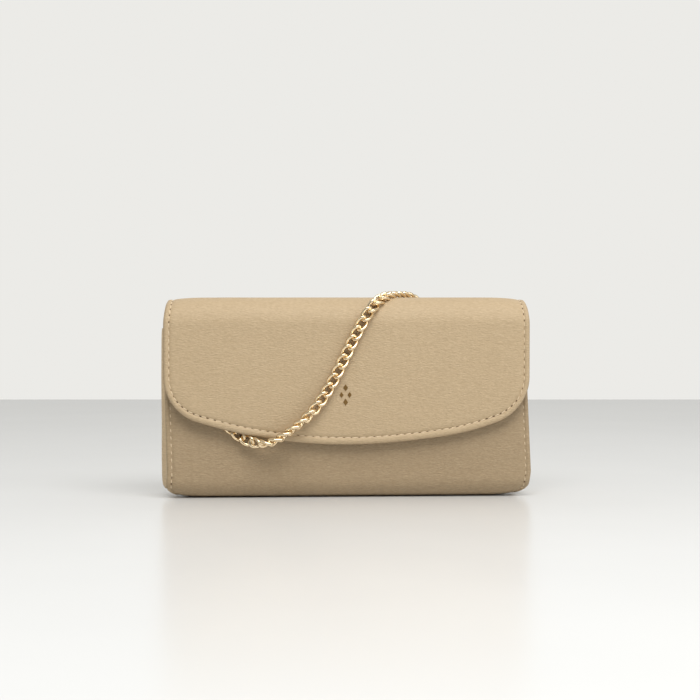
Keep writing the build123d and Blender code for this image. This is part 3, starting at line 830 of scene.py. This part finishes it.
def gusset_sheet(side):
    plan = Fold(
        [
            (side * TUCK, 16.6 * MM),
            (side * VALLEY, 11.2 * MM),
            (side * RIDGE, 3.1 * MM),
            (side * VALLEY, -6.6 * MM),
            (side * TUCK, -10 * MM),
        ],
        [1.6 * MM, 1.3 * MM, 1.6 * MM],
    )
    bm = bmesh.new()
    bmesh.ops.create_grid(bm, x_segments=72, y_segments=60, size=1)
    flat = bm.loops.layers.uv.new("hide")
    for face in bm.faces:
        for loop in face.loops:
            u, v = loop.vert.co.xy
            loop[flat].uv = (u * plan.length / 2, v * 43 * MM)
    foot = 4.4 * MM
    tall = gusset_high.z - foot - (1.5 * MM if side > 0 else 0)   # clear of the zip's puller
    for v in bm.verts:
        share, rise = (v.co.x + 1) / 2, (v.co.y + 1) / 2
        place = plan.at(share * plan.length)[0]
        z = foot + rise * tall
        nip = (1 - rise) ** 50 * 1.8 * MM + rise**30 * 0.4 * MM
        wave = 0.25 * MM * noise.noise(Vector((share * 5, z * 30, side)))
        x = place.x - side * (nip * max(0.0, (abs(place.x) - VALLEY) / (RIDGE - VALLEY)) + wave)
        v.co = (x, place.y + wave, z)
    return bm


for side, name in ((-1, "left_gusset"), (1, "right_gusset")):
    gusset = hide_object(name + "_leather", gusset_sheet(side), 1.0 * MM, [gusset_taupe_painted_light], 0.3 * MM)
    gusset.modifiers["wall"].offset = 0
    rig.blend(gusset, "root", "front", (0, 16 * MM, 0), (0, -9.8 * MM, 0))
    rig.replaces(gusset, name)
    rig.slot(gusset, "body_leather")


# ------------------------------------------------------------------ chain strap
# Curb links of pale gold plate, each twisted so that it lies flat against the next. The strap
# comes down inside the flap from the left ring, out under its edge and up across its front,
# over the fold and down the back, and its spare length lies in a tied hank behind.
gold_colours = paint(248, 229, 196), paint(237, 212, 171)


def gold(name, colours, rough):
    plate = Finish(name)
    where = plate.objects()
    smear = plate.noise(where, 240.0, 3.0)
    grain = plate.noise(where, 2400.0, 2.0)
    return plate.shade(
        Base_Color=plate.mix(smear, *colours),
        Metallic=1.0,
        Roughness=rough + smear * 0.1,
        Normal=plate.bump(grain + smear, 0.01 * MM, 0.35),
    )


chain_gold = gold("chain_gold", gold_colours, 0.14)
route_mm = [
    (-86.0, -9.6, 94.2),
    (-86.0, -12.9, 93.0),
    (-86.0, -15.2, 89.4),
    (-86.1, -15.2, 82.0),
    (-86.0, -15.2, 72.0),
    (-81.5, -15.2, 60.0),
    (-74.0, -15.2, 49.6),
    (-65.0, -15.2, 40.2),
    (-56.8, -15.8, 32.8),
    (-47.6, -20.8, 30.4),
    (-39.5, -24.5, 31.8),
    (-29.5, -24.5, 38.8),
    (-19.0, -23.8, 47.6),
    (-10.6, -22.0, 59.5),
    (-3.6, -21.9, 73.0),
    (3.4, -21.9, 88.0),
    (11.0, -21.9, 101.8),
    (20.0, -12.4, 110.7),
    (37.0, 12.2, 110.7),
    (44.0, 22.4, 102.4),
    (46.3, 22.4, 68.0),
    (47.2, 22.4, 42.0),
    (47.8, 22.4, 22.0),
    (48.0, 23.6, 12.0),
    (47.6, 27.6, 5.0),
    (45.8, 35.0, 2.6),
    (40.0, 46.5, 2.3),
]
HANK_X, HANK_Y, HANK_RUN = -11.0, 47.5, 60.0
LOW_TURN, HIGH_TURN = 2.5, 6.2
for angle in (math.radians(26), math.radians(58)):
    route_mm.append(
        (
            HANK_X + HANK_RUN / 2 + 21 * math.cos(angle),
            HANK_Y + 21 * math.sin(angle),
            LOW_TURN,
        )
    )
# Each half turn at an end of the hank: the radius it starts and stops at, and its height.
half_turns = [
    (21.3, 21.0, LOW_TURN),
    (20.8, 14.0, LOW_TURN),
    (13.6, 14.0, LOW_TURN),
    (14.0, 13.7, HIGH_TURN),
    (14.0, 20.6, HIGH_TURN),
    (21.2, 20.8, HIGH_TURN),
]
for k, (start, stop, height) in enumerate(half_turns):
    side = 1 if k % 2 else -1
    for step in range(6):
        angle = math.radians(90 + 180 * k + 36 * step)
        radius = start + (stop - start) * min(1.0, step / 3)
        route_mm.append(
            (
                HANK_X + side * (HANK_RUN / 2 + 0.6 * math.sin(k * 2.4)) + radius * math.cos(angle),
                HANK_Y + radius * math.sin(angle),
                height,
            )
        )
route_mm += [
    (-39.0, 68.5, 6.2),
    (-54.0, 67.9, 5.9),
    (-68.0, 65.1, 2.6),
    (-77.5, 56.0, 2.4),
    (-78.5, 43.5, 2.2),
]


def smooth_line(name, points):
    """The points that a smooth curve through the route passes."""
    curve = bpy.data.curves.new(name, "CURVE")
    curve.dimensions = "3D"
    curve.resolution_u = 12
    spline = curve.splines.new("NURBS")
    spline.points.add(len(points) - 1)
    for point, place in zip(spline.points, points):
        point.co = (*(Vector(place) * MM), 1)
    spline.order_u = 3
    spline.use_endpoint_u = True
    holder = bpy.data.objects.new(name, curve)
    mesh = bpy.data.meshes.new_from_object(holder)
    line = [v.co.copy() for v in mesh.vertices]
    bpy.data.objects.remove(holder)
    return line


LINK_LONG, LINK_WIDE, WIRE = 9.9 * MM, 7.9 * MM, 1.08 * MM
LINK_PITCH = 5.7 * MM
LINK_TWIST = math.radians(46)


def curb_link():
    """A round ring of wire, drawn out to an oval and twisted end to end."""
    bm = bmesh.new()
    bmesh.ops.create_circle(bm, segments=8, radius=WIRE)
    bmesh.ops.rotate(bm, verts=bm.verts, matrix=Matrix.Rotation(math.pi / 2, 3, "X"))
    bmesh.ops.translate(bm, verts=bm.verts, vec=(1, 0, 0))
    bmesh.ops.spin(
        bm, geom=bm.verts[:] + bm.edges[:], cent=(0, 0, 0), axis=(0, 0, 1),
        angle=2 * math.pi, steps=20, use_merge=True,
    )
    half_long, half_wide = LINK_LONG / 2 - WIRE, LINK_WIDE / 2 - WIRE
    for v in bm.verts:
        around = math.atan2(v.co.y, v.co.x)
        out = math.hypot(v.co.x, v.co.y) - 1
        x = (half_long + out) * math.cos(around)
        y = (half_wide + out) * math.sin(around) * (1 + 0.12 * math.cos(2 * around))
        turn = LINK_TWIST * x / half_long
        v.co = (
            x,
            y * math.cos(turn) - v.co.z * math.sin(turn),
            y * math.sin(turn) + v.co.z * math.cos(turn),
        )
    bmesh.ops.recalc_face_normals(bm, faces=bm.faces)
    for face in bm.faces:
        face.smooth = True
    return bm


def away_from_wallet(place):
    """Which way is out from the wallet, or up from the table."""
    x, y, z = place
    roll_y = min(max(y, -5 * MM), 5 * MM)
    out = Vector((0, y - roll_y, max(0.0, z - 95 * MM)))
    if out.length < 1e-6:
        out = Vector((0, 0, 1))
    flat = min(1.0, max(0.0, (22 * MM - z) / (14 * MM))) if y > 20 * MM else 0.0
    return out.normalized().lerp(Vector((0, 0, 1)), flat).normalized()


# How far the chain rolls on its side, at distances along it: it leaves the flap's edge on its
# side and turns flat again as it climbs.
ROLLS = ((0, 0), (76, 0), (90, 72), (108, 72), (128, 18), (146, 0))


def rolled(along):
    """The chain's roll about its own line, at a distance along it."""
    for (start, roll), (stop, next_roll) in zip(ROLLS, ROLLS[1:]):
        if start * MM <= along < stop * MM:
            share = (along / MM - start) / (stop - start)
            return math.radians(roll + (next_roll - roll) * share * share * (3 - 2 * share))
    return 0.0


def beads_along(line, pitch):
    """Evenly spaced places on a line of points, with the heading and distance at each."""
    along, next_at = 0.0, pitch / 2
    for here, there in zip(line, line[1:]):
        step = (there - here).length
        while next_at <= along + step:
            spot = here.lerp(there, (next_at - along) / step)
            yield spot, (there - here).normalized(), next_at
            next_at += pitch
        along += step


def chain_of(name, line):
    link = curb_link()
    bm = bmesh.new()
    for place, heading, along in beads_along(line, LINK_PITCH):
        outward = away_from_wallet(place)
        outward = (outward - heading * outward.dot(heading)).normalized()
        outward = Matrix.Rotation(rolled(along), 3, heading) @ outward
        add_copy(bm, link, frame_at(place, heading, outward) @ Matrix.Rotation(math.pi / 2, 4, "X"))
    link.free()
    mesh = bpy.data.meshes.new(name)
    bm.to_mesh(mesh)
    bm.free()
    mesh.materials.append(chain_gold)
    piece = bpy.data.objects.new(name, mesh)
    scene.collection.objects.link(piece)
    return piece


chain_line = smooth_line("chain_route", route_mm)
chain = chain_of("chain_strap", chain_line)
# It lies outside the fold, so it turns with the leather that is level with it.
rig.blend(
    chain, "root", "flap", (0, 22.4 * MM, 95.5 * MM), (0, 20.24 * MM, 96.55 * MM)
)
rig.replaces(
    chain, "chain_on_flap", "chain_over_hinge", "chain_behind", "chain_hank", "chain_end"
)
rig.slot(chain, "gold_chain")
clasps = [
    f"{end}_clasp_{part}" for end in ("left", "far") for part in ("body", "gate", "pin", "eye")
]
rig.cord(
    chain,
    exit=chain_line[0],
    length=1.19,
    diameter=LINK_WIDE,
    far_end="connector",
    stiffness="limp",
    lay="loose",
    path=chain_line,
    with_pieces=clasps,
)

# ------------------------------------------------------------------ tie
# A band of woven ribbon round the middle of the hank, its end lapped over and caught down
# with three stitches.
tie_low, tie_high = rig.box("hank_tie")
RIBBON = 0.4 * MM
tie_y = (tie_low.y + tie_high.y) / 2
tie_half, tie_wide = (tie_high.y - tie_low.y) / 2, tie_high.x - tie_low.x


def tie_ribbon():
    ribbon = Finish("tie_ribbon")
    where = ribbon.node("ShaderNodeUVMap", {"uv_map": "weave"}, {})
    across, along = [
        ribbon.node(
            "ShaderNodeTexWave",
            {"bands_direction": way},
            {"Vector": where, "Scale": fine, "Distortion": 0.3},
            out="Fac",
        )
        for way, fine in (("X", 420.0), ("Y", 560.0))
    ]
    weave = across * 0.4 + along * 0.6
    return ribbon.shade(
        Base_Color=ribbon.mix(weave, paint(205, 186, 156), paint(232, 218, 192)),
        Roughness=0.5 + weave * 0.2,
        Normal=ribbon.bump(weave, 0.15 * MM, 0.9),
        Sheen_Weight=0.3,
    )


tie_path = Fold(
    [
        (tie_y + 4 * MM, tie_high.z - 0.1 * MM),
        (tie_y - tie_half, tie_high.z - 0.5 * MM),
        (tie_y - tie_half, RIBBON),
        (tie_y + tie_half, RIBBON),
        (tie_y + tie_half, tie_high.z - 0.5 * MM),
        (tie_y - 5 * MM, tie_high.z + 0.35 * MM),
    ],
    [2.2 * MM, 1.2 * MM, 1.2 * MM, 2.2 * MM],
)
tie_mesh = bmesh.new()
bmesh.ops.create_grid(tie_mesh, x_segments=12, y_segments=220, size=1)
tie_weave = tie_mesh.loops.layers.uv.new("weave")
for face in tie_mesh.faces:
    for loop in face.loops:
        u, v = loop.vert.co.xy
        loop[tie_weave].uv = (u * tie_wide / 2, (v + 1) / 2 * tie_path.length)
for v in tie_mesh.verts:
    share = (v.co.y + 1) / 2
    place, heading = tie_path.at(share * tie_path.length)
    dip = 0.35 * MM * math.sin(share * 29) * (1 if place.y > 3 * MM else 0)
    selvedge = 0.12 * MM * abs(v.co.x) ** 6
    x = (tie_low.x + tie_high.x) / 2 + v.co.x * tie_wide / 2 * (1 - 0.03 * math.sin(share * 17))
    v.co = (x, place.x, max(RIBBON, place.y - dip + selvedge))
tie = hide_object("ribbon_tie", tie_mesh, RIBBON, [tie_ribbon()], 0.1 * MM)
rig.ride(tie, "root")
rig.replaces(tie, "hank_tie")
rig.slot(tie, "tie_ribbon")


# ------------------------------------------------------------------ foil mark
# A small ornament of four gold foil lozenges, pressed into the flap beside the chain.
foil = gold("foil", (paint(176, 140, 88), paint(128, 98, 60)), 0.28)
MARK_X, MARK_Z = -1.2 * MM, 56.7 * MM
marks = bmesh.new()
for x, z, half_wide, half_tall in (
    (0, 3.9, 1.3, 1.9), (-2.2, 0, 1.1, 1.6), (2.2, 0, 1.1, 1.6), (0, -3.9, 1.3, 1.9)
):
    lozenge = bmesh.new()
    bmesh.ops.create_circle(lozenge, cap_ends=True, segments=4, radius=1)
    bmesh.ops.scale(lozenge, vec=(half_wide * MM, half_tall * MM, 1), verts=lozenge.verts)
    raised = bmesh.ops.extrude_face_region(lozenge, geom=lozenge.faces[:])
    tops = [v for v in raised["geom"] if isinstance(v, bmesh.types.BMVert)]
    bmesh.ops.translate(lozenge, verts=tops, vec=(0, 0, 0.3 * MM))
    bmesh.ops.recalc_face_normals(lozenge, faces=lozenge.faces)
    place = Matrix.Translation((MARK_X + x * MM, flap_low.y + 0.2 * MM, MARK_Z + z * MM))
    add_copy(marks, lozenge, place @ Matrix.Rotation(math.pi / 2, 4, "X"))
    lozenge.free()
mark_mesh = bpy.data.meshes.new("foil_mark")
marks.to_mesh(mark_mesh)
marks.free()
mark_mesh.materials.append(foil)
mark = bpy.data.objects.new("foil_mark", mark_mesh)
scene.collection.objects.link(mark)
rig.ride(mark, "flap")
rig.slot(mark, "gold_metal")


# ------------------------------------------------------------------ CAD metalwork and linings
# What is cast, stamped or cut flat keeps its shape and takes its own finish.
def woven(name, light, dark, fine):
    """Fine tape: warp and weft as two crossing waves."""
    cloth = Finish(name)
    where = cloth.objects()
    waves = [
        cloth.node(
            "ShaderNodeTexWave",
            {"bands_direction": way},
            {"Vector": where, "Scale": fine, "Distortion": 0.4},
            out="Fac",
        )
        for way in ("X", "DIAGONAL")
    ]
    weave = waves[0] * 0.5 + waves[1] * 0.5
    fuzz = cloth.noise(where, 1500.0)
    return cloth.shade(
        Base_Color=cloth.mix(weave * 0.7 + fuzz * 0.3, dark, light),
        Roughness=0.72 + fuzz * 0.15,
        Normal=cloth.bump(weave + fuzz * 0.4, 0.12 * MM, 0.8),
        Sheen_Weight=0.25,
        Sheen_Roughness=0.5,
    )


def metal(name, light, dark, rough):
    """Plain plated or brushed metal."""
    plate = Finish(name)
    brushed = plate.noise(plate.stretched(plate.objects(), (300, 300, 5200)), 1.0, 2.0)
    return plate.shade(
        Base_Color=plate.mix(brushed, light, dark),
        Metallic=1.0,
        Roughness=rough + brushed * 0.15,
        Normal=plate.bump(brushed, 0.01 * MM, 0.4),
    )


def board(name):
    """Pressed fibre board, a little mottled."""
    card = Finish(name)
    fibre = card.noise(card.objects(), 700.0, 4.0, 0.7)
    return card.shade(
        Base_Color=card.mix(fibre, paint(206, 199, 184), paint(182, 173, 156)),
        Roughness=0.85,
        Normal=card.bump(fibre, 0.05 * MM, 0.6),
    )


LINING_TONES = paint(186, 161, 128), paint(170, 145, 113)
finishes = {
    "gold_metal": gold("hardware_gold", gold_colours, 0.2),
    "body_leather": leather("plain_taupe", *TAUPE, laid_flat=False),
    "lining": leather("lining_plain", *LINING_TONES, laid_flat=False),
    "stiffener": board("board"),
    "zip_tape": woven("zip_tape_weave", paint(196, 174, 143), paint(160, 138, 108), 620.0),
    "washer_steel": metal("washer_steel", paint(196, 194, 190), paint(160, 158, 154), 0.35),
    "magnet": metal("nickelled_magnet", paint(120, 118, 116), paint(84, 83, 82), 0.3),
}
for row in frame["record"]["subparts"]:
    node = frame["nodes"][row["node"]]
    if row["material_slot"] in finishes:
        node.material_slots[0].material = finishes[row["material_slot"]]

made_box = [list(corner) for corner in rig.bounds()]
with open("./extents.json", "w") as sizes:
    json.dump({"cad": cad_box, "visual": made_box}, sizes)
